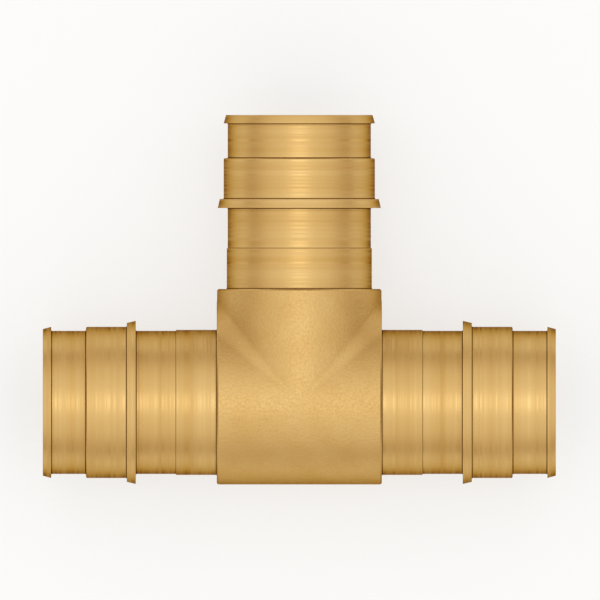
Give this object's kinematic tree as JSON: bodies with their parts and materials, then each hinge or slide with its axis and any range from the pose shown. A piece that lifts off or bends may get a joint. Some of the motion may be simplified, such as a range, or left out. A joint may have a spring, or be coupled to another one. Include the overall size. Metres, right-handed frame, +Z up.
{
  "type": "pex expansion tee",
  "caption": "Brass tee for plastic water pipe: ribbed inserts that expanded pipe shrinks onto, a round forged body with flat pipe stops, and open bores that meet inside.",
  "frame": {"origin": "point where the axes of the bores meet", "axes": "+X along the run, +Y out along the branch, +Z up as the fitting lies flat"},
  "size_m": [0.0856, 0.0616, 0.0274],
  "materials": {
    "brass": "turned inserts on a satin forged body"
  },
  "bodies": {
    "root": {"tee_fitting": "brass"}
  },
  "joints": []
}
